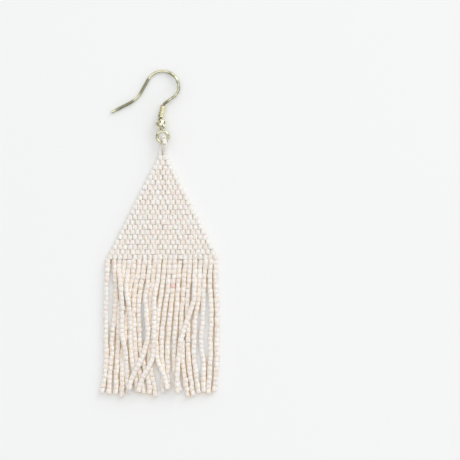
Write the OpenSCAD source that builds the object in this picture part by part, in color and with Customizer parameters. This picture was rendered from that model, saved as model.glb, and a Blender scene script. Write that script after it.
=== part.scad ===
// Beaded fringe earring, lying face up on a flat surface at z = 0.
// X runs across the panel, Y up the earring to its hook, Z away from the surface.
// The origin lies on the surface, under the middle of the panel.

/* [Beads] */
// Diameter of a seed bead
bead_dia = 1.36; // [1.30:0.02:1.36]
// Distance between two neighbours of one row
bead_pitch = 1.38; // [1.38:0.01:1.50]
// Distance between two rows of the panel
row_pitch = 1.365; // [1.35:0.005:1.45]
// Distance that pieces keep from each other
piece_gap = 0.1; // [0.08:0.01:0.12]

/* [Panel] */
// Beads in the panel's top row
top_beads = 2; // [2:1:3]
// Beads in the foundation row, which has a strand under each
base_beads = 22; // [18:1:22]
// Height of the foundation row's middle line
base_y = -6.95; // [-7.5:0.05:-6]
// Width of the groove between two rows
groove = 0.12; // [0.08:0.02:0.2]
// Thickness of the web behind the grooves
web_thick = 0.9; // [0.6:0.1:1.1]

/* [Fringe] */
// Diameter of a strand
strand_dia = 1.3; // [1.2:0.02:1.36]
// Sides of a strand's section
strand_sides = 8; // [8:1:10]
// Distance between two stations of the route table
station_step = 5.5; // [5.3:0.1:5.7]
// Height where the route table starts
fringe_y = -7.8; // [-8.2:0.1:-7.6]
// Length of the slope on which a strand climbs over another one
climb_len = 3.0; // [2.5:0.1:3.5]

/* [Ear hook] */
// Diameter of the hook's wire
wire_dia = 0.8; // [0.7:0.05:0.85]
// Diameter of the ball
ball_dia = 3.15; // [3.1:0.05:3.2]
// Place of the ball's centre across the panel
ball_x = -0.45; // [-0.6:0.05:0]
// Height of the ball's centre above the origin
ball_y = 29.6; // [29.5:0.1:30]
// Direction of the wire through the ball, from the X axis
shank_lean = 94; // [93.5:0.5:94.5]
// Angle between the hook's plane and the surface, about X
hook_pitch = -4.25; // [-4.3:0.05:-4.2]
// Angle between the hook's plane and the surface, about Y
hook_roll = -3.9; // [-4:0.05:-3.9]
// Distance from the ball's centre to the bow, where the wire leans the other way
bow_len = 1.45; // [1.4:0.05:1.5]
// Bend radius of the bow
bow_radius = 0.8; // [0.75:0.05:0.9]
// Bend angle of the bow
bow_bend = 17; // [16:0.5:18]
// Length of the shank inside the coil
shank_len = 3.65; // [3.65:0.05:3.9]
// Bend radius of the elbow above the coil
elbow_radius = 0.7; // [0.7:0.05:0.8]
// Bend angle of the elbow
elbow_bend = 41.7; // [41.5:0.1:42]
// Length of the flat shoulder after the elbow
shoulder_len = 2.92; // [2.9:0.02:3.1]
// Bend radius between the shoulder and the crook
shoulder_radius = 3.4; // [3:0.1:3.6]
// Bend angle between the shoulder and the crook
shoulder_bend = 57; // [56:1:58]
// Bend radius of the crook
crook_radius = 4.5; // [4.3:0.1:4.7]
// Bend angle of the crook
crook_bend = 149; // [147:1:151]
// Length of the straight back leg
back_len = 3.8; // [3.4:0.1:4.2]
// Bend radius where the post flares out
flare_radius = 7.5; // [7:0.1:8]
// Bend angle where the post flares out
flare_bend = 34; // [32:1:36]
// Length of the straight post that goes through the ear, with its blunt tip
post_len = 5.8; // [5:0.1:6.2]
// Length of the bevel on the post's tip
tip_bevel = 0.15; // [0.1:0.05:0.2]

/* [Coil and eye] */
// Diameter of the fine wire wound round the shank
coil_wire = 0.35; // [0.33:0.01:0.35]
// Turns of the coil
coil_turns = 10; // [8:1:10]
// Length of bare wire between the bow and the coil
coil_start = 0.08; // [0.08:0.01:0.1]
// Distance from the ball's centre to the neck of the eye
neck_len = 1.575; // [1.575:0.005:1.6]
// Bend radius of the neck
neck_radius = 0.7; // [0.7:0.01:0.74]
// Bend angle of the neck
neck_bend = 65.1; // [64.9:0.1:65.5]
// Radius of the eye's middle line
eye_radius = 1.55; // [1.5:0.05:1.6]
// Angle that the eye's ring runs through
eye_bend = 320; // [300:5:320]

/* [Bead loop] */
// Diameter of the string of beads through the eye
loop_dia = 1.2; // [1.1:0.05:1.2]

/* [Hidden] */

metal_colour = [0.80, 0.72, 0.53];
bead_colour = [0.95, 0.90, 0.85];

bead_r = bead_dia / 2;
wire_r = wire_dia / 2;
exact_fn = 64;

// A straight run of wire reaches this far into the bends at its ends, and is this much thicker
lap = 0.02;
seam = 0.002;

// The hook's wire from the neck, as rows of [straight run, bend radius, bend angle to the left]
crook_path = [
    [neck_len + bow_len, bow_radius, -bow_bend],
    [shank_len, elbow_radius, -elbow_bend],
    [shoulder_len, shoulder_radius, shoulder_bend],
    [0, crook_radius, crook_bend],
    [back_len, flare_radius, -flare_bend]
];
eye_path = [
    [0, neck_radius, -neck_bend],
    [0, eye_radius, eye_bend]
];

// The loop's route as rows of [x, y, z]: up the left, under the eye's wire, through it, over it and down
loop_route = [
    [-0.75, 21.15, 0.68], [-0.75, 22.4, 0.66], [-0.5, 23.5, 0.66], [-0.2, 24.5, 0.75], [0.0, 25.3, 1.1],
    [0.15, 25.85, 1.8], [0.3, 25.8, 2.55], [0.5, 25.2, 3.1], [0.7, 24.2, 3.2], [0.85, 23.3, 2.5],
    [0.85, 22.6, 1.5], [0.8, 21.9, 0.8], [0.75, 21.15, 0.68]
];

// A row for each strand, left to right: its drift across from its own bead at eight stations, and its fall
FALL = 8;
strand_table = [
    [-0.7, -0.95, -1.15, -1.3, -1.1, -1.0, -1.55, -2.5, 36.8],
    [-0.2, 0.0, -0.1, -0.35, -0.85, -0.95, -1.65, -1.5, 37.3],
    [-0.2, 0.25, 0.35, 0.45, 0.9, 1.65, 2.1, 2.45, 36.8],
    [-0.2, -0.7, -1.1, -1.5, -1.75, -2.2, -2.4, -2.75, 37.5],
    [-0.2, -0.9, -0.6, 0.0, 0.3, 0.65, 1.75, 2.3, 36.2],
    [-0.3, -1.1, -1.8, -2.3, -2.95, -3.6, -3.45, -3.9, 37.5],
    [-0.2, -1.05, -1.8, -1.7, -1.55, -1.1, 0.5, 1.0, 36.6],
    [-0.1, -0.95, -1.7, -1.8, -1.5, -0.7, 0.95, 1.35, 36.8],
    [-0.1, -0.5, -1.3, -0.4, -0.55, -2.6, -5.4, -6.0, 35.6],
    [-0.1, -0.6, -1.25, -1.1, -1.0, -1.75, -0.6, 0.2, 37.4],
    [-0.2, -0.7, -1.8, -1.8, -1.85, -2.15, -5.2, -6.6, 36.2],
    [-0.1, -0.55, -1.4, -2.1, -2.6, -2.05, 0.4, 0.95, 35.6],
    [-0.1, -0.35, -1.05, -1.85, -2.35, -2.25, -1.9, -2.2, 36.6],
    [-0.1, -0.5, -0.9, -1.55, -2.0, -2.2, -2.1, -2.1, 35.4],
    [-0.1, -0.6, -0.8, -1.2, -1.55, -1.65, -0.75, -0.1, 36.0],
    [0.0, -0.35, -0.75, -1.1, -0.95, -0.85, 0.0, 0.65, 37.5],
    [-0.1, -0.3, -0.8, -0.7, -0.65, -0.5, 0.2, 0.75, 37.2],
    [0.0, -0.15, -0.2, -2.35, -3.85, -4.75, -5.0, -4.5, 36.3],
    [0.1, -0.25, -0.7, -1.5, -1.7, -1.75, -0.9, -0.45, 36.6],
    [0.1, -0.4, -0.7, -0.6, -1.3, -0.45, -0.5, -0.45, 36.2],
    [0.2, -0.2, 0.15, 0.3, 0.0, 0.05, -0.35, -0.65, 36.6],
    [0.1, 0.0, 0.4, 0.5, 0.4, 0.4, 0.1, -0.7, 35.9]
];

// A row for each place where a strand lies on others: [strand, from, to, height in beads]
crossing_table = [
    [2, 3.5, 28.5, 1.0],
    [4, 5.0, 18.0, 1.0],
    [8, 13.0, 38.0, 1.0],
    [10, 7.0, 38.0, 1.0],
    [11, 28.0, 38.0, 1.0],
    [17, 5.0, 38.0, 1.0]
];

// Middle line of a panel row, counted by its beads
function row_y(count) = base_y + (base_beads - count) * row_pitch;

// Outline of a row of beads seen along its threads: flat faces between half-round ends
function row_outline(count, thick) = [
    for (side = [-1, 1], step = [0:8])
        let (turn = -90 + step * 22.5)
        [side * ((count - 1) * bead_pitch / 2 + thick / 2 * cos(turn)), side * thick / 2 * sin(turn)]
];

// Smooth step from 0 to 1
function ease(t) = let (c = min(1, max(0, t))) c * c * (3 - 2 * c);

// Smooth curve through four even stations, between the middle two
function curve_between(p, t) =
    p[1] + t / 2 * (p[2] - p[0] + t * (2 * p[0] - 5 * p[1] + 4 * p[2] - p[3] + t * (3 * (p[1] - p[2]) + p[3] - p[0])));

// Drift of a strand at a distance down the fringe
function drift(row, down) =
    let (
        last = FALL - 1,
        k = min(last - 1, floor(down / station_step)),
        near = [for (j = [k - 1:k + 2]) row[min(last, max(0, j))]]
    )
    curve_between(near, down / station_step - k);

// How far a strand is lifted by those that it lies on
function lift(strand, down) = sum([
    for (c = crossing_table) if (c[0] == strand)
        c[3] * bead_dia * ease((down - c[1]) / climb_len + 0.5) * ease((c[2] - down) / climb_len + 0.5)
]);

function sum(list, i = 0) = i < len(list) ? list[i] + sum(list, i + 1) : 0;

function strand_x(strand) = (strand - (base_beads - 1) / 2) * bead_pitch;

function strand_point(strand, down) = [
    strand_x(strand) + drift(strand_table[strand], down),
    fringe_y - down,
    bead_r + lift(strand, down)
];

// A strand's route, from inside the foundation row to its last bead
function strand_route(strand) =
    let (fall = strand_table[strand][FALL], rings = round(fall / station_step * 2))
    concat(
        [[strand_x(strand), base_y, bead_r]],
        [for (i = [0:rings]) strand_point(strand, i / rings * (fall - bead_r))]
    );

function unit(v) = v / norm(v);

// Rings of a tube along a route: the first side of each lies as near X as it can
function tube_rings(route, radius, sides) = [
    for (i = [0:len(route) - 1])
        let (
            ahead = unit(route[min(len(route) - 1, i + 1)] - route[max(0, i - 1)]),
            across = unit([1, 0, 0] - ahead[0] * ahead),
            up = cross(ahead, across)
        )
        for (s = [0:sides - 1])
            let (turn = (s + 0.5) * 360 / sides)
            route[i] + radius * (cos(turn) * across + sin(turn) * up)
];

module tube(route, radius, sides) {
    last = len(route) - 1;
    walls = [
        for (i = [0:last - 1], s = [0:sides - 1])
            let (a = i * sides + s, b = i * sides + (s + 1) % sides)
            each [[a, a + sides, b + sides], [a, b + sides, b]]
    ];
    start_cap = [for (s = [0:sides - 1]) s];
    end_cap = [for (s = [sides - 1:-1:0]) last * sides + s];
    polyhedron(tube_rings(route, radius, sides), concat(walls, [start_cap, end_cap]));
}

// One length of bead row, its threads along Y
module bead_bar(count, thick, length) {
    rotate([90, 0, 0])
        linear_extrude(length, center = true)
            polygon(row_outline(count, thick));
}

// Puts what follows at the ball's centre, X along the shank towards the crook
module on_shank() {
    translate([ball_x, ball_y, ball_dia / 2])
        rotate([hook_pitch, hook_roll, 0])
            rotate([0, 0, shank_lean])
                children();
}

// A round rod along X
module rod(radius, length) {
    rotate([0, 90, 0])
        cylinder(h = length, r = radius, $fn = exact_fn);
}

// A bend of the wire, which leaves the origin along X and turns to the left
module bend(radius, angle) {
    translate([0, radius, 0])
        rotate([0, 0, -90])
            rotate_extrude(angle = angle, $fn = exact_fn)
                translate([radius, 0])
                    circle(r = wire_r - seam, $fn = exact_fn);
}

// Moves what follows along a straight run and round a bend to the left
module past(run, radius, angle) {
    translate([run, sign(angle) * radius, 0])
        rotate([0, 0, angle])
            translate([0, -sign(angle) * radius, 0])
                children();
}

// A wire laid row by row, each row a straight run and then a bend, with children at its end
module wire(path, i = 0) {
    if (i < len(path)) {
        run = path[i][0];
        radius = path[i][1];
        angle = path[i][2];
        if (run > 0 || i > 0)
            translate([-lap, 0, 0])
                rod(wire_r, run + 2 * lap);
        translate([run, 0, 0])
            mirror([0, angle < 0 ? 1 : 0, 0])
                bend(radius, abs(angle));
        past(run, radius, angle)
            wire(path, i + 1)
                children();
    } else {
        children();
    }
}

// The straight end that goes through the ear, along X, with a bevelled tip
module post() {
    rotate([0, 90, 0])
        rotate_extrude($fn = exact_fn)
            polygon([
                [0, -lap],
                [wire_r, -lap],
                [wire_r, post_len - tip_bevel],
                [wire_r - tip_bevel, post_len],
                [0, post_len]
            ]);
}

module ear_hook() {
    color(metal_colour)
        on_shank()
            translate([-neck_len, 0, 0]) {
                wire(crook_path)
                    post();
                rotate([0, 0, 180])
                    wire(eye_path);
            }
}

module hook_coil() {
    inner_r = wire_r + piece_gap;
    turn_r = inner_r + coil_wire / 2;
    color(metal_colour)
        on_shank()
            past(bow_len, bow_radius, -bow_bend)
                translate([coil_start, 0, 0])
                    rotate([0, 90, 0])
                        rotate_extrude($fn = exact_fn) {
                            translate([inner_r, coil_wire / 4])
                                square([coil_wire / 2, (coil_turns - 0.5) * coil_wire]);
                            for (turn = [0:coil_turns - 1])
                                translate([turn_r, (turn + 0.5) * coil_wire])
                                    circle(d = coil_wire * 1.04, $fn = exact_fn);
                        }
}

module hook_ball() {
    color(metal_colour)
        on_shank()
            rotate([0, 90, 0])
                rotate_extrude($fn = exact_fn)
                    intersection() {
                        circle(d = ball_dia, $fn = exact_fn);
                        translate([wire_r + piece_gap, -ball_dia / 2])
                            square([ball_dia, ball_dia]);
                    }
}

module bead_loop() {
    color(bead_colour)
        tube(loop_route, loop_dia / 2, strand_sides);
}

module beaded_panel() {
    core_top = row_y(top_beads);
    core_low = row_y(base_beads - 1);
    color(bead_colour)
        translate([0, 0, bead_r]) {
            for (count = [top_beads:base_beads - 1])
                translate([0, row_y(count), 0])
                    bead_bar(count, bead_dia, row_pitch - groove);
            translate([0, 0, -web_thick / 2])
                linear_extrude(web_thick)
                    polygon([
                        [-(top_beads - 1) * bead_pitch / 2, core_top],
                        [-(base_beads - 2) * bead_pitch / 2, core_low],
                        [(base_beads - 2) * bead_pitch / 2, core_low],
                        [(top_beads - 1) * bead_pitch / 2, core_top]
                    ]);
        }
}

// The bead that a strand turns round at its end
module turn_bead(strand) {
    fall = strand_table[strand][FALL];
    translate(strand_point(strand, fall - bead_r))
        rotate([90, 0, 0])
            hull() {
                cylinder(h = bead_dia * 0.8, d = strand_dia, center = true, $fn = strand_sides);
                cylinder(h = bead_dia, d = strand_dia * 0.7, center = true, $fn = strand_sides);
            }
}

module fringe() {
    color(bead_colour)
        union() {
            translate([0, base_y, bead_r])
                bead_bar(base_beads, bead_dia, row_pitch - piece_gap);
            for (strand = [0:base_beads - 1]) {
                tube(strand_route(strand), strand_dia / 2, strand_sides);
                turn_bead(strand);
            }
        }
}

ear_hook();
hook_coil();
hook_ball();
bead_loop();
beaded_panel();
fringe();
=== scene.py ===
import bpy
import numpy as np
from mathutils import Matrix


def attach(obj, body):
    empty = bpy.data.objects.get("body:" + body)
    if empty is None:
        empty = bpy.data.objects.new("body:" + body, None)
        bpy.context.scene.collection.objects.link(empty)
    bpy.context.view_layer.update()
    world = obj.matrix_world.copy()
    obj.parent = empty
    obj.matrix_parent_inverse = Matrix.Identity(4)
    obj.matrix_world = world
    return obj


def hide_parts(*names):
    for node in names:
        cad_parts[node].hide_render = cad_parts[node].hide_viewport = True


# A beaded fringe earring, laid flat: seed beads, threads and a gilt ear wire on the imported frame.
# X runs across the panel, Y up to the hook, Z off the table. Shapes are worked out in millimetres.
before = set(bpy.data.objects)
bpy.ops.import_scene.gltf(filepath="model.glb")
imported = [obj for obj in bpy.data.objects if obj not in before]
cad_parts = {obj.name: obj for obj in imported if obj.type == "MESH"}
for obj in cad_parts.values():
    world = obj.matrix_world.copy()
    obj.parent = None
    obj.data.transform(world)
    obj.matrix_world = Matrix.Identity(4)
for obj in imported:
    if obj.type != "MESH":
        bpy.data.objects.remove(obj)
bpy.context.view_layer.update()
scene = bpy.context.scene
millimetre = 0.001
upward = (0.0, 0.0, 1.0)
everyWay = (1.0, 1.0, 1.0)
seed = 41
chance = np.random.default_rng(seed)


# A socket that can be used in sums: each sum adds one Math node
class Link:
    def __init__(self, paint, socket):
        self.paint = paint
        self.socket = socket

    def maths(self, operation, first, second):
        return self.paint.add("Math", {"operation": operation}, {0: first, 1: second})

    def __add__(self, other):
        return self.maths("ADD", self, other)

    def __sub__(self, other):
        return self.maths("SUBTRACT", self, other)

    def __mul__(self, other):
        return self.maths("MULTIPLY", self, other)

    def __rsub__(self, other):
        return self.maths("SUBTRACT", other, self)

    __radd__ = __add__
    __rmul__ = __mul__


# The nodes of a material, or of the world, added one by one
class Paint:
    def __init__(self, owner):
        owner.use_nodes = True
        self.owner = owner
        self.tree = owner.node_tree
        self.tree.nodes.clear()

    # Adds a node: first its settings, a ramp's stops among them, then a value or a link for each socket
    def add(self, kind, settings=None, sockets=None, out=0):
        node = self.tree.nodes.new("ShaderNode" + kind)
        for key, value in (settings or {}).items():
            if key == "stops":
                ramp = node.color_ramp.elements
                while len(ramp) < len(value):
                    ramp.new(0.5)
                for stop, (place, colour) in zip(ramp, value):
                    stop.position = place
                    stop.color = (*colour, 1.0)
            else:
                setattr(node, key, value)
        for key, value in (sockets or {}).items():
            socket = node.inputs[key]
            if isinstance(value, Link):
                self.tree.links.new(value.socket, socket)
            else:
                socket.default_value = (*value, 1.0) if socket.type == "RGBA" else value
        return Link(self, node.outputs[out]) if node.outputs else None

    # A number or a vector that the mesh carries for each point
    def carried(self, name, out="Fac"):
        return self.add("Attribute", {"attribute_name": name}, out=out)

    # low where the share is 0 and high where it is 1, or low times high there if the kind is MULTIPLY
    def mix(self, share, low, high, kind="MIX"):
        settings = {"data_type": "RGBA", "blend_type": kind}
        return self.add("Mix", settings, {0: share, 6: low, 7: high}, out=2)

    # A vector times another, axis by axis
    def stretched(self, where, by):
        return self.add("VectorMath", {"operation": "MULTIPLY"}, {0: where, 1: by})

    # Grey noise from 0 to 1, with its vector stretched first
    def noise(self, where, stretch, scale, detail=2.0):
        where = self.stretched(where, stretch)
        return self.add("TexNoise", None, {"Vector": where, "Scale": scale, "Detail": detail})

    # A share that goes smoothly from 0 at low to 1 at high
    def rise(self, value, low, high):
        return self.add("MapRange", {"interpolation_type": "SMOOTHSTEP"},
                        {"Value": value, "From Min": low, "From Max": high})

    # A bump map, whose height of 1 is so many millimetres
    def bump(self, height, depth):
        return self.add("Bump", None, {"Height": height, "Distance": depth * millimetre, "Strength": 1.0})

    # The material's one shader and its output
    def finish(self, sockets):
        shader = self.add("BsdfPrincipled", None, sockets)
        self.add("OutputMaterial", None, {"Surface": shader})
        return self.owner


# Opal glass of the seed beads: pink, ivory, cream or a greenish white from bead to bead, with silky streaks
# along the thread and honey-coloured ends. Peach on some strands is partly their own tone, partly painted
# shade.
# Flanks that face close neighbours go tan, then brown, as painted shade, with a faint painted glow.
glassLook = {
    "hues": [(0.0, (0.835, 0.685, 0.605)), (0.35, (0.84, 0.725, 0.63)),
             (0.7, (0.835, 0.72, 0.58)), (1.0, (0.83, 0.775, 0.70))],
    "peach": (0.88, 0.66, 0.49), "honey": (0.86, 0.72, 0.57), "rose": (0.85, 0.52, 0.49),
    "streak": (0.97, 0.955, 0.94), "tan": (1.1, 0.85, 0.34), "brown": (1.0, 0.7, 0.18),
    # Noise in a bead's own millimetres, whose third axis is the thread
    "streakStretch": (1.0, 1.0, 0.18), "streakScale": 5.0, "cloudScale": 1.6,
    "rippleStretch": (1.0, 1.0, 0.35), "rippleScale": 3.2, "rippleStreak": 0.3, "ripple": 0.012,
    # The values between which each colour, and the roughness, sets in
    "streakRange": (0.35, 0.7), "endRange": (0.9, 1.15), "tanRange": (0.0, 0.8), "brownRange": (-0.7, 0.2),
    "roseRange": (0.2, 0.6), "roughRange": (0.2, 0.8), "endCloud": 0.3, "honeyShare": 0.5,
    "roughness": 0.24, "roughening": 0.14, "specular": 0.3, "coat": 0.2, "coatRoughness": 0.1,
    "scatter": 0.3, "scatterReach": (1.0, 0.75, 0.5), "scatterScale": 0.3,
    # Painted glow: a faint emission on the shaded flanks, standing in for light that comes through the glass
    # where flanks stand close together
    "dark": (0.0, 0.0, 0.0), "paintedGlow": (0.022, 0.016, 0.0), "paintedGlowStrength": 1.0,
}


def paintGlass():
    look = glassLook
    paint = Paint(bpy.data.materials.new("beadGlass"))
    space = paint.carried("beadSpace", "Vector")
    streak = paint.noise(space, look["streakStretch"], look["streakScale"])
    cloud = paint.noise(space, everyWay, look["cloudScale"])
    colour = paint.add("ValToRGB", {"stops": look["hues"]}, {0: paint.carried("beadTone")})
    # Peach by strand: partly the beads' own tone, partly painted shade on strands that lie lower
    colour = paint.mix(paint.carried("beadTint"), colour, look["peach"])
    colour = paint.mix(paint.rise(streak, *look["streakRange"]), look["streak"], colour, "MULTIPLY")
    end = paint.rise(paint.carried("beadEnd") + (cloud - 0.5) * look["endCloud"], *look["endRange"])
    colour = paint.mix(end * look["honeyShare"], colour, look["honey"])
    # Painted shade: flanks that face close neighbours go tan, and their lower parts brown
    top, shade = paint.carried("beadTop"), paint.carried("beadShade")
    tanShade = shade * (1.0 - paint.rise(top, *look["tanRange"]))
    low = shade * (1.0 - paint.rise(top, *look["brownRange"]))
    colour = paint.mix(tanShade, colour, look["tan"], "MULTIPLY")
    colour = paint.mix(low, colour, look["brown"], "MULTIPLY")
    rose = paint.carried("beadRose") * paint.rise(cloud, *look["roseRange"])
    ripple = paint.noise(space, look["rippleStretch"], look["rippleScale"]) + streak * look["rippleStreak"]
    return paint.finish({
        "Base Color": paint.mix(rose, colour, look["rose"]),
        "Roughness": paint.rise(cloud, *look["roughRange"]) * look["roughening"] + look["roughness"],
        "Subsurface Weight": look["scatter"], "Subsurface Radius": look["scatterReach"],
        "Subsurface Scale": look["scatterScale"] * millimetre, "Specular IOR Level": look["specular"],
        "Coat Weight": (1.0 - tanShade) * look["coat"], "Coat Roughness": look["coatRoughness"],
        "Emission Color": paint.mix(tanShade, look["dark"], look["paintedGlow"]),
        "Emission Strength": look["paintedGlowStrength"],
        "Normal": paint.bump(ripple, look["ripple"]),
    })


# Two-ply thread: cream to olive brown, with fuzz and the turns of its plies, so many radians a millimetre
threadLook = {
    "cream": (0.80, 0.72, 0.60), "olive": (0.33, 0.205, 0.115), "shade": (0.6, 0.55, 0.5),
    "twist": 9.0, "plyFuzz": 0.6, "plyRange": (0.2, 1.2), "plainShare": 0.5,
    "fuzzScale": 9000.0, "roughness": 0.55, "roughening": 0.2, "bumpFuzz": 0.4, "bump": 0.02,
}


def paintThread():
    look = threadLook
    paint = Paint(bpy.data.materials.new("threadNylon"))
    ply = paint.carried("ply")
    fuzz = paint.noise(paint.add("TexCoord", out="Object"), everyWay, look["fuzzScale"])
    plain = paint.mix(paint.carried("threadTone"), look["cream"], look["olive"])
    crest = paint.rise(ply + fuzz * look["plyFuzz"], *look["plyRange"])
    plied = paint.mix(crest, look["shade"], plain, "MULTIPLY")
    return paint.finish({
        "Base Color": paint.mix(look["plainShare"], plied, plain),
        "Roughness": fuzz * look["roughening"] + look["roughness"],
        "Normal": paint.bump(ply + fuzz * look["bumpFuzz"], look["bump"]),
    })


# Pale gilt of the wire and the coil: fine drawing marks and olive in soft patches, less of it round the eye
# and none on the coil, with dark spots of painted shade and reflection. The ball is polished brighter, with
# a few dark spots of painted reflection of its own.
giltLook = {
    "pale": (0.66, 0.64, 0.44), "olive": (0.20, 0.19, 0.11), "coil": (0.92, 0.87, 0.60),
    "bright": (0.88, 0.86, 0.64), "paintedDark": (0.15, 0.12, 0.055), "flatten": (1.0, 1.0, 0.0),
    "markScale": 14000.0, "markDetail": 3.0, "patchScale": 330.0, "patchRange": (0.36, 0.62),
    # Heights in metres between which the wire gets less olive, and by how much
    "eyeLow": 0.0285, "eyeTop": 0.0325, "eyeLessOlive": 0.1,
    "roughPatches": 0.5, "roughRange": (0.5, 1.0), "roughness": 0.12, "roughening": 0.13, "bump": 0.002,
    "ballRoughness": 0.07, "ballRoughening": 0.06,
    # Dark spots of painted shade and reflection, seen from above: [x, y, radius, depth]
    "ballPaintedReflections": [
        [-0.95, 30.70, 0.42, 0.9], [-0.60, 30.10, 0.40, 0.9], [-0.47, 29.65, 0.30, 0.5],
        [0.47, 30.20, 0.26, 1.0], [0.60, 29.85, 0.24, 1.0], [-0.03, 29.00, 0.28, 0.6],
        [0.35, 28.50, 0.34, 0.7], [-1.35, 29.60, 0.80, 0.6],
    ],
    "wirePaintedShadeAndReflections": [
        [-1.60, 26.55, 0.50, 0.8], [-1.62, 25.85, 0.42, 0.5], [-0.03, 24.55, 0.40, 0.8],
        [1.65, 26.55, 0.45, 0.5], [-0.52, 28.00, 0.35, 0.8], [-0.50, 30.95, 0.50, 0.8],
        [-0.50, 34.55, 0.30, 0.8], [-0.60, 33.90, 0.30, 0.8], [-0.70, 33.25, 0.30, 0.8],
        [-0.80, 32.60, 0.30, 0.8], [-0.92, 31.95, 0.34, 0.9], [-1.05, 31.45, 0.36, 1.0],
    ],
}


# Each painted dark spot is depth (1 - rise(distance from its middle seen from above, radius / 2, radius))
def paintedDarkSpots(paint, colour, darkSpots):
    flat = paint.stretched(paint.add("TexCoord", out="Object"), giltLook["flatten"])
    for x, y, radius, depth in darkSpots:
        middle = (x * millimetre, y * millimetre, 0.0)
        far = paint.add("VectorMath", {"operation": "DISTANCE"}, {0: flat, 1: middle}, out="Value")
        share = (1.0 - paint.rise(far, radius * millimetre / 2, radius * millimetre)) * depth
        colour = paint.mix(share, colour, giltLook["paintedDark"])
    return colour


def paintGilt():
    look = giltLook
    paint = Paint(bpy.data.materials.new("paleGilt"))
    where = paint.add("TexCoord", out="Object")
    marks = paint.noise(where, everyWay, look["markScale"], look["markDetail"])
    patches = paint.noise(where, everyWay, look["patchScale"])
    height = paint.add("SeparateXYZ", None, {0: where}, out="Y")
    # Olive share: soft patches, fewer below the eye's heights
    nearEye = 1.0 - paint.rise(height, look["eyeLow"], look["eyeTop"])
    oliveShare = paint.rise(patches - nearEye * look["eyeLessOlive"], *look["patchRange"])
    colour = paint.mix(oliveShare, look["pale"], look["olive"])
    colour = paint.mix(paint.carried("coilGilt"), colour, look["coil"])
    rough = paint.rise(marks + patches * look["roughPatches"], *look["roughRange"])
    return paint.finish({
        "Base Color": paintedDarkSpots(paint, colour, look["wirePaintedShadeAndReflections"]), "Metallic": 1.0,
        "Roughness": rough * look["roughening"] + look["roughness"],
        "Normal": paint.bump(marks, look["bump"]),
    })


def paintBall():
    look = giltLook
    paint = Paint(bpy.data.materials.new("brightGilt"))
    marks = paint.noise(paint.add("TexCoord", out="Object"), everyWay, look["markScale"], look["markDetail"])
    return paint.finish({
        "Base Color": paintedDarkSpots(paint, look["bright"], look["ballPaintedReflections"]), "Metallic": 1.0,
        "Roughness": marks * look["ballRoughening"] + look["ballRoughness"],
    })


beadGlass, threadNylon, paleGilt, brightGilt = paintGlass(), paintThread(), paintGilt(), paintBall()
print("materials: bead glass, thread and gilt")


# Each vector divided by its length
def unit(vectors):
    return vectors / np.linalg.norm(vectors, axis=-1, keepdims=True)


# Two directions square to ahead, the first as near the reference as it can be:
# near = reference - (reference . ahead) ahead, beside = ahead x near
def squareTo(ahead, reference):
    near = unit(reference - (ahead @ reference)[:, None] * ahead)
    return near, np.cross(ahead, near)


# Direction of a path at each point, from the point before to the point after
def pathAhead(path):
    padded = np.concatenate([path[:1], path, path[-1:]])
    return unit(padded[2:] - padded[:-2])


# Length along a path from its start to each of its points
def lengthAlong(path):
    return np.concatenate([[0.0], np.cumsum(np.linalg.norm(np.diff(path, axis=0), axis=1))])


# The points of a path at some lengths along it
def pointsAt(path, lengths):
    along = lengthAlong(path)
    return np.stack([np.interp(lengths, along, path[:, axis]) for axis in range(3)], axis=1)


# Catmull-Rom curve from b at t = 0 to c at t = 1, with a before them and d after them:
# b + t / 2 (c - a + t (2 a - 5 b + 4 c - d + t (3 (b - c) + d - a)))
def curveAt(t, a, b, c, d):
    return b + t / 2 * (c - a + t * (2 * a - 5 * b + 4 * c - d + t * (3 * (b - c) + d - a)))


# Smooth step from 0 to 1: c c (3 - 2 c), with c = t held between 0 and 1
def ease(t):
    c = np.clip(t, 0.0, 1.0)
    return c * c * (3 - 2 * c)


# Quads between neighbours of a (rings, sides) grid, or of many such grids one after the other.
# The sides close on themselves, and so do the rings when closed is true.
def gridFaces(grids, rings, sides, closed=False):
    index = np.arange(grids * rings * sides).reshape(grids, rings, sides)
    ahead = np.roll(index, -1, axis=1)
    here, ahead = (index, ahead) if closed else (index[:, :-1], ahead[:, :-1])
    corners = [here, ahead, np.roll(ahead, -1, axis=2), np.roll(here, -1, axis=2)]
    return np.stack(corners, axis=-1).reshape(-1, 4).tolist()


# Makes a piece from a shape, which is its points in millimetres, its faces and its points' attributes.
# The nodes are those of the frame that it stands for.
def makePiece(name, shape, material, nodes=()):
    points, faces, attributes = shape
    mesh = bpy.data.meshes.new(name)
    mesh.from_pydata((points * millimetre).tolist(), [], faces)
    for key, values in attributes.items():
        kind, field = ("FLOAT_VECTOR", "vector") if values.ndim == 2 else ("FLOAT", "value")
        mesh.attributes.new(key, kind, "POINT").data.foreach_set(field, values.astype(np.float32).ravel())
    mesh.polygons.foreach_set("use_smooth", np.ones(len(mesh.polygons), bool))
    mesh.materials.append(material)
    mesh.update()
    piece = bpy.data.objects.new(name, mesh)
    scene.collection.objects.link(piece)
    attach(piece, "root")
    if nodes:
        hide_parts(*nodes)
    print(f"{name}: {len(mesh.polygons)} faces")


# Several shapes as one
def joined(shapes):
    starts = np.cumsum([0] + [len(points) for points, _, _ in shapes[:-1]])
    faces = []
    for start, (_, part, _) in zip(starts, shapes):
        faces += [[corner + start for corner in face] for face in part]
    attributes = {key: np.concatenate([shape[2][key] for shape in shapes]) for key in shapes[0][2]}
    return np.concatenate([points for points, _, _ in shapes]), faces, attributes


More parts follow.
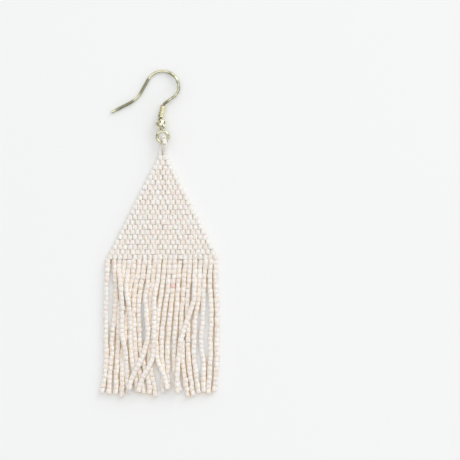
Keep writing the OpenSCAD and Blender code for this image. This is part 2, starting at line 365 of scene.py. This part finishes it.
# One bead's section as rows of [place along its thread, distance from it, end, rim], in shares of the half
# length and the radius: a rounded barrel, flat ends and a bore. The look's pinch draws the rim in.
beadShape = {
    "sides": 12,
    "section": np.array([
        [-1.0, 0.44, 1.2, 0], [-1.0, 1.0, 1.0, 1], [-0.86, 1.0, 0.8, 0],
        [0.86, 1.0, 0.8, 0], [1.0, 1.0, 1.0, 1], [1.0, 0.44, 1.2, 0],
    ]),
    "slant": 0.05, "tilt": 0.03, "oval": 0.02, "lowest": 0.005, "noiseReach": 50.0,
    # How far the sizes stray, in shares of the look's spread
    "mostWide": 2, "longSpread": 1.6, "mostLong": 3,
}


# Random radii, half lengths and tones for beads of one look
def drawBeads(count, look):
    wide, long = look["spread"], beadShape["longSpread"] * look["spread"]
    mostWide, mostLong = beadShape["mostWide"] * look["spread"], beadShape["mostLong"] * look["spread"]
    radii = look["beadWidth"] / 2 * (1 + chance.normal(0.0, wide, count).clip(-mostWide, mostWide))
    halves = look["beadLength"] / 2 * (1 + chance.normal(0.0, long, count).clip(-mostLong, mostLong))
    return radii, halves, chance.uniform(0.0, 1.0, count)


# A value for each bead, or one for all, repeated for all points of a (beads, rings, sides) grid
def perPoint(values, grid):
    return np.broadcast_to(np.reshape(values, (-1, 1, 1)), grid).reshape(-1)


# Beads carried along their threads. With s from the section, p and q at random and the turn a round the bead
# from its top, a point is
# centre + ahead * half * (s + slant |s| cos(a + p)) + radius * across * (near cos a + beside sin a), where
# across = rim * soft * (1 + oval cos(2 a + q)) and soft = (|cos a|^square + |sin a|^square)^(-1 / square).
# No point lies below lowest. Shades has two columns, for a bead's flank on the side of beside, which is the
# left if its thread runs down, and for its other flank.
def beadMesh(centres, ahead, radii, halves, tones, look, shades, tintsAndShade, roses=0.0):
    section = beadShape["section"]
    grid = (len(centres), len(section), beadShape["sides"])
    ahead = unit(ahead + chance.normal(0.0, beadShape["tilt"], centres.shape))
    near, beside = squareTo(ahead, np.array(upward))
    turn = np.linspace(0.0, 2 * np.pi, beadShape["sides"], endpoint=False)
    phase = chance.uniform(0.0, 2 * np.pi, (len(centres), 2))
    slant = chance.normal(0.0, beadShape["slant"], (len(centres), 1, 1))
    station = section[None, :, None, 0]
    along = station + slant * np.abs(station) * np.cos(turn + phase[:, :1, None])
    square = look["square"]
    soft = (np.abs(np.cos(turn)) ** square + np.abs(np.sin(turn)) ** square) ** (-1 / square)
    rim = section[:, 1] * np.where(section[:, 3] > 0, look["pinch"], 1.0)
    across = rim[None, :, None] * soft * (1.0 + beadShape["oval"] * np.cos(2 * turn + phase[:, 1:, None]))
    along, across = np.broadcast_arrays(along * halves[:, None, None], across * radii[:, None, None])
    local = np.stack([across * np.cos(turn), across * np.sin(turn), along], axis=-1)
    points = (centres[:, None, None] + local[..., :1] * near[:, None, None]
              + local[..., 1:2] * beside[:, None, None] + local[..., 2:] * ahead[:, None, None])
    points[..., 2] = np.maximum(points[..., 2], beadShape["lowest"])
    shift = chance.uniform(0.0, beadShape["noiseReach"], (len(centres), 1, 1, 3))
    flanks = np.where(np.sin(turn) > 0, shades[:, :1], shades[:, 1:])[:, None]
    attributes = {
        "beadSpace": (local + shift).reshape(-1, 3),
        "beadTone": perPoint(tones, grid),
        "beadTint": perPoint(tintsAndShade, grid),
        "beadRose": perPoint(roses, grid),
        "beadEnd": np.broadcast_to(section[:, 2:3], grid).reshape(-1),
        "beadTop": np.broadcast_to(np.cos(turn), grid).reshape(-1),
        "beadShade": np.broadcast_to(flanks, grid).reshape(-1),
    }
    return points.reshape(-1, 3), gridFaces(*grid, closed=True), attributes


# A thread along a path: centre + radius * (near cos a + beside sin a), closed at both ends.
# Its plies go round as (1 + cos(2 a + twist * length)) / 2.
def threadMesh(path, radius, reference, tone, sides=6):
    near, beside = squareTo(pathAhead(path), np.array(reference))
    turn = np.linspace(0.0, 2 * np.pi, sides, endpoint=False)[None, :, None]
    points = path[:, None] + radius * (np.cos(turn) * near[:, None] + np.sin(turn) * beside[:, None])
    corners = len(path) * sides
    faces = gridFaces(1, len(path), sides)
    faces += [list(range(sides)), list(range(corners - 1, corners - sides - 1, -1))]
    ply = 0.5 + 0.5 * np.cos(2 * turn[..., 0] + threadLook["twist"] * lengthAlong(path)[:, None])
    return points.reshape(-1, 3), faces, {"ply": ply.reshape(-1), "threadTone": np.full(corners, tone)}


# The beaded panel: brick stitch rows of 2 to 21 beads, with threads along Y. The base row of 22 is the
# fringe's foundation.
panel = {
    "pitch": 1.38, "rowPitch": 1.365, "topBeads": 2, "baseBeads": 22, "baseY": -6.95,
    "beadWidth": 1.36, "beadLength": 1.36, "spread": 0.012, "wander": 0.02, "floorGap": 0.01,
    "square": 3.8, "pinch": 0.95, "shade": 0.38, "tint": 0.0,
}


# Where the columns of the base row stand: x = (column - (baseBeads - 1) / 2) pitch
def columnX(column):
    return (column - (panel["baseBeads"] - 1) / 2) * panel["pitch"]


# Row by row: x = (i - (count - 1) / 2) pitch, y = baseY + (baseBeads - count) rowPitch, with a little wander
def rowBeads(counts):
    index = np.concatenate([np.arange(count) - (count - 1) / 2 for count in counts])
    y = panel["baseY"] + (panel["baseBeads"] - np.repeat(counts, counts)) * panel["rowPitch"]
    radii, halves, tones = drawBeads(len(index), panel)
    wander = chance.normal(0.0, panel["wander"], (len(index), 3))
    wander[:, 2] = np.abs(wander[:, 2])
    centres = np.stack([index * panel["pitch"], y, radii + panel["floorGap"]], axis=1) + wander
    return centres, radii, halves, tones


# Shade of each bead's left and right flank, none on the outer flanks of a row
def rowShades(counts):
    shades = np.full((counts.sum(), 2), panel["shade"])
    ends = np.cumsum(counts)
    shades[ends - counts, 0] = 0.0
    shades[ends - 1, 1] = 0.0
    return shades


# The stitching thread runs along every boundary between two rows and turns round at the edges:
# y = boundary + sway sin(phase), z = low + rise |sin(phase / 2)|
stitch = {
    "radius": 0.09, "sway": 0.05, "low": 0.62, "rise": 0.42, "steps": 6, "tone": 0.1, "inside": 0.35,
    # Dark stitches that show on top: [from x, to x, y, olive share]
    "marks": [
        [-8.25, -7.40, 3.29, 0.9], [-7.75, -6.80, 1.95, 0.9], [-0.15, 1.35, 1.92, 1.0],
        [-8.90, -8.00, -2.15, 0.8], [4.10, 4.90, -2.17, 0.9], [-6.90, -5.40, -3.52, 0.7],
        [-1.60, -0.60, -3.56, 0.8], [4.00, 4.80, -4.95, 0.9], [6.10, 7.70, 7.38, 0.8],
        # The last six lie along the groove between the base row and the fringe, as dark lines
        [-13.83, -11.93, -7.45, 0.8], [-11.33, -7.26, -7.62, 0.8], [-7.26, -3.60, -7.70, 0.5],
        [-2.86, -1.62, -7.62, 0.9], [2.0, 7.0, -7.64, 0.4], [8.2, 12.46, -7.64, 0.4],
    ],
    "markRadius": 0.10, "markTop": 1.28, "markDip": 0.35, "markSteps": 15, "markSway": 0.04, "markBend": 3.0,
}


def stitchPath():
    rows = []
    for count in range(panel["topBeads"], panel["baseBeads"]):
        reach = (count - 0.5) / 2 * panel["pitch"] - stitch["inside"]
        steps = stitch["steps"] * count
        phase = np.linspace(0.0, 2 * np.pi * count, steps + 1)
        boundary = panel["baseY"] + (panel["baseBeads"] - count - 0.5) * panel["rowPitch"]
        row = np.stack([np.linspace(-reach, reach, steps + 1), boundary + stitch["sway"] * np.sin(phase),
                        stitch["low"] + stitch["rise"] * np.abs(np.sin(phase / 2))], axis=1)
        rows.append(row if count % 2 else row[::-1])
    return np.concatenate(rows[::-1])


# A stitch seen on top, nearly straight, whose ends dive between the beads: with u from -1 to 1,
# y = its line + sway sin(bend u + start), z = top - dip |u|^4
def markPath(start, end, y):
    u = np.linspace(-1.0, 1.0, stitch["markSteps"])
    return np.stack([(start + end) / 2 + u * (end - start) / 2,
                     y + stitch["markSway"] * np.sin(stitch["markBend"] * u + start),
                     stitch["markTop"] - stitch["markDip"] * np.abs(u) ** 4], axis=1)


# The rows of beads, and the thread between them with its dark stitches
def buildPanel():
    counts = np.arange(panel["topBeads"], panel["baseBeads"])
    centres, radii, halves, tones = rowBeads(counts)
    # The bead at either end of a row has the palest tone, as painted light: the outer beads catch more light
    # from the side
    ends = np.cumsum(counts)
    tones[np.concatenate([ends - counts, ends - 1])] = 1.0
    # These threads run up, so a bead's left and right flank change places
    shades = rowShades(counts)[:, ::-1]
    ahead = np.tile([0.0, 1.0, 0.0], (len(centres), 1))
    beads = beadMesh(centres, ahead, radii, halves, tones, panel, shades, panel["tint"])
    makePiece("panel_beads", beads, beadGlass, ["beaded_panel"])
    threads = [threadMesh(stitchPath(), stitch["radius"], upward, stitch["tone"])]
    for start, end, y, tone in stitch["marks"]:
        threads.append(threadMesh(markPath(start, end, y), stitch["markRadius"], upward, tone))
    makePiece("panel_thread", joined(threads), threadNylon)


buildPanel()

# The fringe: a row for each strand, left to right, with its drift across at eight stations and its fall,
# and a row for each place where a strand lies on others: [strand, from, to, height in beads]
fringe = {
    # The route: its top and stations, how far it takes to climb on others, and how it starts under the row
    "top": -7.8, "station": 5.5, "climb": 3.0, "topGap": 0.04, "pathStart": 0.3, "pathSteps": 400,
    "sway": 0.06, "waves": (0.9, 1.6), "secondWave": 0.7, "swayFrom": 4, "jitter": 0.04,
    "beadRadius": 0.68, "beadWidth": 1.35, "beadLength": 1.32, "spread": 0.045, "square": 3.3, "pinch": 0.87,
    "overlap": 0.035, "threadRadius": 0.16, "threadTone": 0.1,
    # Distances between strands at which flanks are fully shaded and bare
    "shadeNear": 1.55, "shadeFar": 2.05, "farAway": 9.0, "raisedBare": 0.85,
    # How peach each strand is: partly the beads' own tone, partly painted shade on strands that lie lower
    "tintsAndShade": np.array([0.15, 0.55, 0.0, 0.6, 0.05, 0.8, 0.45, 0.35, 0.0, 0.9, 0.05,
                       0.1, 0.25, 0.3, 0.4, 0.3, 0.35, 0.0, 0.25, 0.15, 0.2, 0.2]),
    # How the strands settle
    "settleSteps": 160, "pull": 0.04, "weight": 0.01, "clearance": 0.01, "pushShare": 0.45,
    "threadPasses": 3, "tiny": 1e-9, "smoothings": 3, "smoothShare": 0.5,
    "strands": np.array([
        [-0.7, -0.85, -1.05, -1.15, -1.05, -1.0, -1.55, -2.5, 36.4],
        [-0.2, 0.3, 0.25, -0.2, -0.8, -0.95, -1.6, -1.5, 36.7],
        [-0.2, 0.35, 0.45, 0.45, 0.9, 1.65, 2.1, 2.45, 36.6],
        [-0.2, -0.7, -1.1, -1.5, -1.75, -2.2, -2.4, -2.75, 36.9],
        [-0.2, -0.9, -0.6, 0.0, 0.3, 0.65, 1.75, 2.3, 36.2],
        [-0.3, -1.1, -1.8, -2.3, -2.95, -3.6, -3.45, -3.9, 37.5],
        [-0.2, -1.05, -1.8, -1.7, -1.55, -1.1, 0.5, 1.0, 36.6],
        [-0.1, -0.95, -1.7, -1.8, -1.5, -0.7, 0.95, 1.35, 36.8],
        [-0.1, -0.5, -1.3, -0.4, -0.55, -2.6, -5.4, -6.0, 35.6],
        [-0.1, -0.6, -1.25, -1.1, -1.0, -1.75, -0.6, 0.2, 37.4],
        [-0.2, -0.7, -1.8, -1.8, -1.85, -2.15, -5.2, -6.6, 36.2],
        [-0.1, -0.55, -1.4, -2.1, -2.6, -2.05, 0.4, 0.95, 35.6],
        [-0.1, -0.35, -1.05, -1.85, -2.35, -2.25, -1.9, -2.2, 36.6],
        [-0.1, -0.5, -0.9, -1.55, -2.0, -2.2, -2.1, -2.1, 35.4],
        [-0.1, -0.6, -0.8, -1.2, -1.55, -1.65, -0.75, -0.1, 36.0],
        [0.0, -0.35, -0.75, -1.1, -0.95, -0.85, 0.0, 0.65, 37.5],
        [-0.1, -0.3, -0.8, -0.7, -0.65, -0.5, 0.2, 0.75, 37.2],
        [0.0, -0.15, -0.2, -2.35, -3.85, -4.75, -5.0, -4.5, 36.3],
        [0.1, -0.25, -0.7, -1.5, -1.7, -1.75, -0.9, -0.45, 36.6],
        [0.1, -0.4, -0.7, -0.6, -1.3, -0.45, -0.5, -0.45, 36.2],
        [0.2, -0.2, 0.15, 0.3, 0.0, 0.05, -0.35, -0.65, 36.6],
        [0.1, 0.0, 0.4, 0.5, 0.4, 0.4, 0.1, -0.7, 35.9],
    ]),
    "crossings": [
        [2, 3.5, 28.5, 1.0], [4, 5.0, 18.0, 1.0], [8, 13.0, 38.0, 1.0],
        [10, 7.0, 38.0, 1.0], [11, 28.0, 38.0, 1.0], [17, 5.0, 38.0, 1.0],
    ],
    # The strand, and the bead down it, that is rose
    "roseBead": (13, 5),
}


# A strand's route at distances down from the top: a smooth curve through its stations, with a little sway
# from two waves, lifted where it crosses others by
# height ease((down - from) / climb + 1/2) ease((to - down) / climb + 1/2)
def strandRoute(strand, down, phases):
    drift = fringe["strands"][strand, :-1]
    last = len(drift) - 1
    k = np.minimum(last - 1, np.floor(down / fringe["station"])).astype(int)
    stations = (drift[np.clip(k + step, 0, last)] for step in (-1, 0, 1, 2))
    across = curveAt(down / fringe["station"] - k, *stations)
    lift = 0.0
    for crossing, start, end, height in fringe["crossings"]:
        if crossing == strand:
            rising = ease((down - start) / fringe["climb"] + 0.5)
            falling = ease((end - down) / fringe["climb"] + 0.5)
            lift = lift + height * 2 * fringe["beadRadius"] * rising * falling
    first, second = (np.sin(wave * down + phase) for wave, phase in zip(fringe["waves"], phases))
    sway = fringe["sway"] * (first + second * fringe["secondWave"]) * ease(down / fringe["swayFrom"])
    x = columnX(strand) + across + sway
    return np.stack([x, fringe["top"] - down, fringe["beadRadius"] + lift + 0 * down], axis=1)


# Bead centres on a strand's route, laid end to end with the wanted half lengths stretched to fit
def layStrand(strand, phases):
    startY = panel["baseY"] - panel["rowPitch"] / 2 - fringe["topGap"]
    down = np.linspace(fringe["pathStart"], fringe["strands"][strand, -1], fringe["pathSteps"])
    start = [[columnX(strand), startY, fringe["beadRadius"]]]
    path = np.concatenate([start, strandRoute(strand, down, phases)])
    whole = lengthAlong(path)[-1]
    radii, halves, tones = drawBeads(int(round(whole / fringe["beadLength"])), fringe)
    halves = halves * whole / (2 * halves.sum())
    return pointsAt(path, np.cumsum(2 * halves) - halves), radii, halves, tones


# Lets the strands settle: beads keep their distance on a thread, push beads of other strands apart,
# stay on the table and are drawn back to their route
def settle(target, radii, halves, strandOf):
    place = target.copy()
    upper = np.flatnonzero(strandOf[1:] == strandOf[:-1])
    first = np.flatnonzero(np.r_[True, strandOf[1:] != strandOf[:-1]])
    spacing = (halves[upper] + halves[upper + 1])[:, None]
    apart = radii[:, None] + radii[None] + fringe["clearance"]
    apart[strandOf[:, None] == strandOf[None]] = 0.0
    for step in range(fringe["settleSteps"]):
        place += fringe["pull"] * (target - place) * (1.0 - step / fringe["settleSteps"])
        place[:, 2] -= fringe["weight"]
        between = place[:, None] - place[None]
        distance = np.linalg.norm(between, axis=-1) + fringe["tiny"]
        push = np.clip(apart - distance, 0.0, None) / distance
        place += fringe["pushShare"] * (between * push[..., None]).sum(axis=1)
        for _ in range(fringe["threadPasses"]):
            reach = place[upper + 1] - place[upper]
            far = np.linalg.norm(reach, axis=1, keepdims=True)
            move = 0.5 * (1.0 - spacing / far) * reach
            place[upper] += move
            place[upper + 1] -= move
            place[first] = target[first]
        place[:, 2] = np.maximum(place[:, 2], radii + panel["floorGap"])
    return place


# Each bead between two others of its strand goes a share of the way to the middle of them, a few times
def smoothed(place, strandOf):
    inner = 1 + np.flatnonzero(strandOf[2:] == strandOf[:-2])
    for _ in range(fringe["smoothings"]):
        middle = (place[inner - 1] + place[inner + 1]) / 2
        place[inner] += fringe["smoothShare"] * (middle - place[inner])
    return place


# Half lengths that fill the thread: half the mean distance to the beads before and after, and an overlap
def filled(place, strandOf):
    reach = np.linalg.norm(np.diff(place, axis=0), axis=1)
    reach[strandOf[1:] != strandOf[:-1]] = np.nan
    both = np.stack([np.r_[np.nan, reach], np.r_[reach, np.nan]])
    return np.nanmean(both, axis=0) / 2 + fringe["overlap"]


# Shade of each bead's left and right flank, from the distance to the next strand on that side:
# 1 - ease((distance - near) / (far - near)), and less of it by raisedBare where the strand lies on others
def flankShades(place, strandOf):
    between = place[None] - place[:, None]
    other = (strandOf[:, None] != strandOf[None]) & (np.abs(between[..., 1]) < fringe["beadLength"] / 2)
    beside = [other & (sign * between[..., 0] > 0) for sign in (-1, 1)]
    distance = np.where(beside, np.abs(between[..., 0]), fringe["farAway"]).min(axis=2).T
    raised = ease(place[:, 2:] / fringe["beadRadius"] / 2 - 0.5)
    close = 1.0 - ease((distance - fringe["shadeNear"]) / (fringe["shadeFar"] - fringe["shadeNear"]))
    return close * (1.0 - fringe["raisedBare"] * raised)


# The foundation row, the settled strands and the thread down each of them
def buildFringe():
    columns = range(panel["baseBeads"])
    phases = chance.uniform(0.0, 2 * np.pi, (len(columns), 2))
    laid = [layStrand(strand, phases[strand]) for strand in columns]
    strandOf = np.repeat(columns, [len(strand[0]) for strand in laid])
    target, radii, halves, tones = (np.concatenate(parts) for parts in zip(*laid))
    place = smoothed(settle(target, radii, halves, strandOf), strandOf)
    moved = np.linalg.norm(place - target, axis=1).max()
    print("fringe: strands settled, beads moved", round(float(moved), 2), "mm")
    place[:, :2] += chance.normal(0.0, fringe["jitter"], (len(place), 2))

    row = np.array([panel["baseBeads"]])
    knots, *sizes = rowBeads(row)
    down = np.tile([0.0, -1.0, 0.0], (len(knots), 1))
    foundation = beadMesh(knots, down, *sizes, panel, rowShades(row), panel["tint"])
    paths = [place[strandOf == strand] for strand in columns]
    strand, bead = fringe["roseBead"]
    roses = np.zeros(len(place))
    roses[np.flatnonzero(strandOf == strand)[bead]] = 1.0
    beads = beadMesh(place, np.concatenate([pathAhead(path) for path in paths]), radii,
                     filled(place, strandOf), tones, fringe, flankShades(place, strandOf),
                     fringe["tintsAndShade"][strandOf], roses)
    makePiece("fringe_beads", joined([foundation, beads]), beadGlass, ["fringe"])
    threads = []
    for knot, path in zip(knots, paths):
        path = np.concatenate([[knot], path])
        threads.append(threadMesh(path, fringe["threadRadius"], upward, fringe["threadTone"]))
    makePiece("fringe_threads", joined(threads), threadNylon)


buildFringe()

# The loop of beads through the eye: up the left, under the wire, through the eye, over it and down
loop = {
    "beadWidth": 1.18, "beadLength": 1.16, "spread": 0.02, "beads": 9, "overlap": 0.04, "reach": 0.3,
    "square": 2.2, "pinch": 0.93, "shade": 0.04, "tint": 0.05, "paleTone": 0.85,
    "threadRadius": 0.25, "threadTone": 0.0, "threadSide": (1.0, 0.0, 0.0), "steps": 12,
    "route": np.array([
        [-0.64, 21.15, 0.68], [-0.64, 22.4, 0.66], [-0.45, 23.5, 0.66], [-0.2, 24.5, 0.75], [0.0, 25.3, 1.1],
        [0.15, 25.85, 1.8], [0.3, 25.8, 2.55], [0.5, 25.2, 3.1], [0.62, 24.2, 3.2], [0.62, 23.3, 2.5],
        [0.56, 22.6, 1.5], [0.58, 21.9, 0.8], [0.62, 21.15, 0.68],
    ]),
}


# Even steps along the route's corners, rounded by a Catmull-Rom curve between each two
def smoothRoute(corners, steps):
    padded = np.concatenate([2 * corners[:1] - corners[1:2], corners, 2 * corners[-1:] - corners[-2:-1]])
    t = np.linspace(0.0, 1.0, steps, endpoint=False)[None, :, None]
    curve = curveAt(t, *(padded[k:len(padded) - 3 + k][:, None] for k in range(4)))
    return np.concatenate([curve.reshape(-1, 3), corners[-1:]])


# Beads at even steps of the path, each along the line between the points a reach before and after it
def buildLoop():
    path = smoothRoute(loop["route"], loop["steps"])
    count, whole = loop["beads"], lengthAlong(path)[-1]
    radii, _, tones = drawBeads(count, loop)
    tones = loop["paleTone"] + (1.0 - loop["paleTone"]) * tones
    halves = np.full(count, whole / count / 2 + loop["overlap"])
    middles = (np.arange(count) + 0.5) / count * whole
    before, centres, after = (pointsAt(path, middles + step * loop["reach"]) for step in (-1, 0, 1))
    shades = np.full((count, 2), loop["shade"])
    beads = beadMesh(centres, unit(after - before), radii, halves, tones, loop, shades, loop["tint"])
    makePiece("loop_beads", beads, beadGlass, ["bead_loop"])
    thread = threadMesh(path, loop["threadRadius"], loop["threadSide"], loop["threadTone"])
    makePiece("loop_thread", thread, threadNylon)
    print("loop: pitch", round(float(whole / count), 2), "mm")


buildLoop()

# The coil wound round the shank: a helix of fine wire about the wire's line above its bow. The hook's
# plane is turned by pitch about X and by roll about Y, and lean is the wire's direction in that plane.
coil = {
    "ball": (-0.45, 29.6, 1.575), "pitch": -4.25, "roll": -3.9, "lean": 94.0, "bow": 1.45, "bowRadius": 0.8,
    "bowBend": 17.0, "start": 0.08, "wire": 0.35, "closeness": 0.985, "turns": 10, "radius": 0.675,
    "sides": 10, "steps": 22, "tail": 0.22, "tailEnd": 6, "windFrom": (-1.0, 0.0, 0.0),
}


# A vector of the hook's plane as X, Y and Z: (a, b) gives (a, b cos pitch, b sin pitch), then roll turns it
def fromPlane(a, b):
    pitch, roll = np.radians(coil["pitch"]), np.radians(coil["roll"])
    y, z = b * np.cos(pitch), b * np.sin(pitch)
    return np.array([a * np.cos(roll) + z * np.sin(roll), y, z * np.cos(roll) - a * np.sin(roll)])


# Past the bow = bow ahead + bowRadius (right before it - right after it), right = (sin, -cos) of the lean.
# Centre(t) = start + wire (t + 1/2) along the shank + out (near cos 2 pi t + beside sin 2 pi t), with t in
# turns and out = radius + tail ease(1 - tailEnd t)
def buildCoil():
    low, high = np.radians(coil["lean"]), np.radians(coil["lean"] - coil["bowBend"])
    bow = (coil["bow"] * fromPlane(np.cos(low), np.sin(low))
           + coil["bowRadius"] * fromPlane(np.sin(low) - np.sin(high), np.cos(high) - np.cos(low)))
    shank = fromPlane(np.cos(high), np.sin(high))
    near, beside = (vector[0] for vector in squareTo(shank[None], np.array(coil["windFrom"])))
    turns = coil["turns"] - 1
    t = np.linspace(0.0, turns, coil["steps"] * turns + 1)[:, None]
    out = coil["radius"] + coil["tail"] * ease(1.0 - coil["tailEnd"] * t)
    path = (coil["ball"] + bow + shank * (coil["start"] + coil["wire"] * (t + 0.5))
            + out * (near * np.cos(2 * np.pi * t) + beside * np.sin(2 * np.pi * t)))
    radius = coil["wire"] / 2 * coil["closeness"]
    points, faces, _ = threadMesh(path, radius, shank, 0.0, coil["sides"])
    shape = (points, faces, {"coilGilt": np.ones(len(points))})
    makePiece("coil_wire", shape, paleGilt, ["hook_coil"])


buildCoil()

# The wire and the ball keep the frame's meshes
for node, gilt in (("ear_hook", paleGilt), ("hook_ball", brightGilt)):
    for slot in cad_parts[node].material_slots:
        slot.material = gilt
print("hook: gilt on the wire and the ball")

# The table, the lights and the camera straight above. A pixel is so many millimetres of the table.
studio = {
    "pixel": 0.275, "picture": 460, "originPixel": (162.7, 231.7), "height": 0.9, "sensor": 36.0,
    "clip": (0.01, 10.0), "gamma": 1.16,
    "tableColour": (0.908, 0.921, 0.915), "tableRoughness": 0.9, "tableSize": 3.0,
    # The sky's grey by height: 0 is the horizon and all below it, and 1 is straight up
    "sky": [(0.0, 0.75), (0.5, 0.75), (0.8, 0.95), (0.92, 1.5), (1.0, 2.2)],
    "skyStrength": 0.79, "skyLean": (-0.05, 0.5, 0.0),
    # Power, size and place of each lamp
    "lamps": {"keyLight": (7.5, 0.9, (0.9, 1.2, 0.75)), "glintLight": (1.0, 0.28, (0.9, -0.45, 0.42))},
}


# A square of white paper, which isn't part of the earring
def layTable():
    half = studio["tableSize"] / 2
    corners = [(-half, -half, 0), (half, -half, 0), (half, half, 0), (-half, half, 0)]
    mesh = bpy.data.meshes.new("table")
    mesh.from_pydata(corners, [], [(0, 1, 2, 3)])
    table = bpy.data.objects.new("table", mesh)
    paint = Paint(bpy.data.materials.new("tablePaper"))
    look = {"Base Color": studio["tableColour"], "Roughness": studio["tableRoughness"]}
    mesh.materials.append(paint.finish(look))
    scene.collection.objects.link(table)


# The sky is its grey times skyStrength (1 + skyLean . direction)
def lightSky():
    scene.world = bpy.data.worlds.new("softRoom")
    room = Paint(scene.world)
    where = room.add("TexCoord", out="Generated")
    height = room.add("SeparateXYZ", None, {0: where}, out="Z")
    stops = [(place, (grey, grey, grey)) for place, grey in studio["sky"]]
    colour = room.add("ValToRGB", {"stops": stops}, {0: height})
    vectors = {0: where, 1: studio["skyLean"]}
    lean = room.add("VectorMath", {"operation": "DOT_PRODUCT"}, vectors, out="Value")
    sky = room.add("Background", None, {"Color": colour, "Strength": (lean + 1.0) * studio["skyStrength"]})
    room.add("OutputWorld", None, {"Surface": sky})


# Area lamps, each turned to the origin
def hangLamps():
    for name, (power, size, place) in studio["lamps"].items():
        light = bpy.data.lights.new(name, "AREA")
        light.energy, light.size = power, size
        lamp = bpy.data.objects.new(name, light)
        lamp.location = place
        lamp.rotation_euler = (-lamp.location).to_track_quat("-Z", "Y").to_euler()
        scene.collection.objects.link(lamp)


# The lens is sensor * height / the picture's width on the table
def placeCamera():
    lens = bpy.data.cameras.new("camera")
    lens.sensor_width = studio["sensor"]
    lens.lens = studio["sensor"] * studio["height"] / (studio["picture"] * studio["pixel"] * millimetre)
    lens.clip_start, lens.clip_end = studio["clip"]
    camera = bpy.data.objects.new("camera", lens)
    middle = studio["picture"] / 2
    camera.location = ((middle - studio["originPixel"][0]) * studio["pixel"] * millimetre,
                       (studio["originPixel"][1] - middle) * studio["pixel"] * millimetre, studio["height"])
    scene.collection.objects.link(camera)
    scene.camera = camera
    scene.view_settings.view_transform = "Standard"
    scene.view_settings.gamma = studio["gamma"]


layTable()
lightSky()
hangLamps()
placeCamera()
print("studio: table, light and camera")
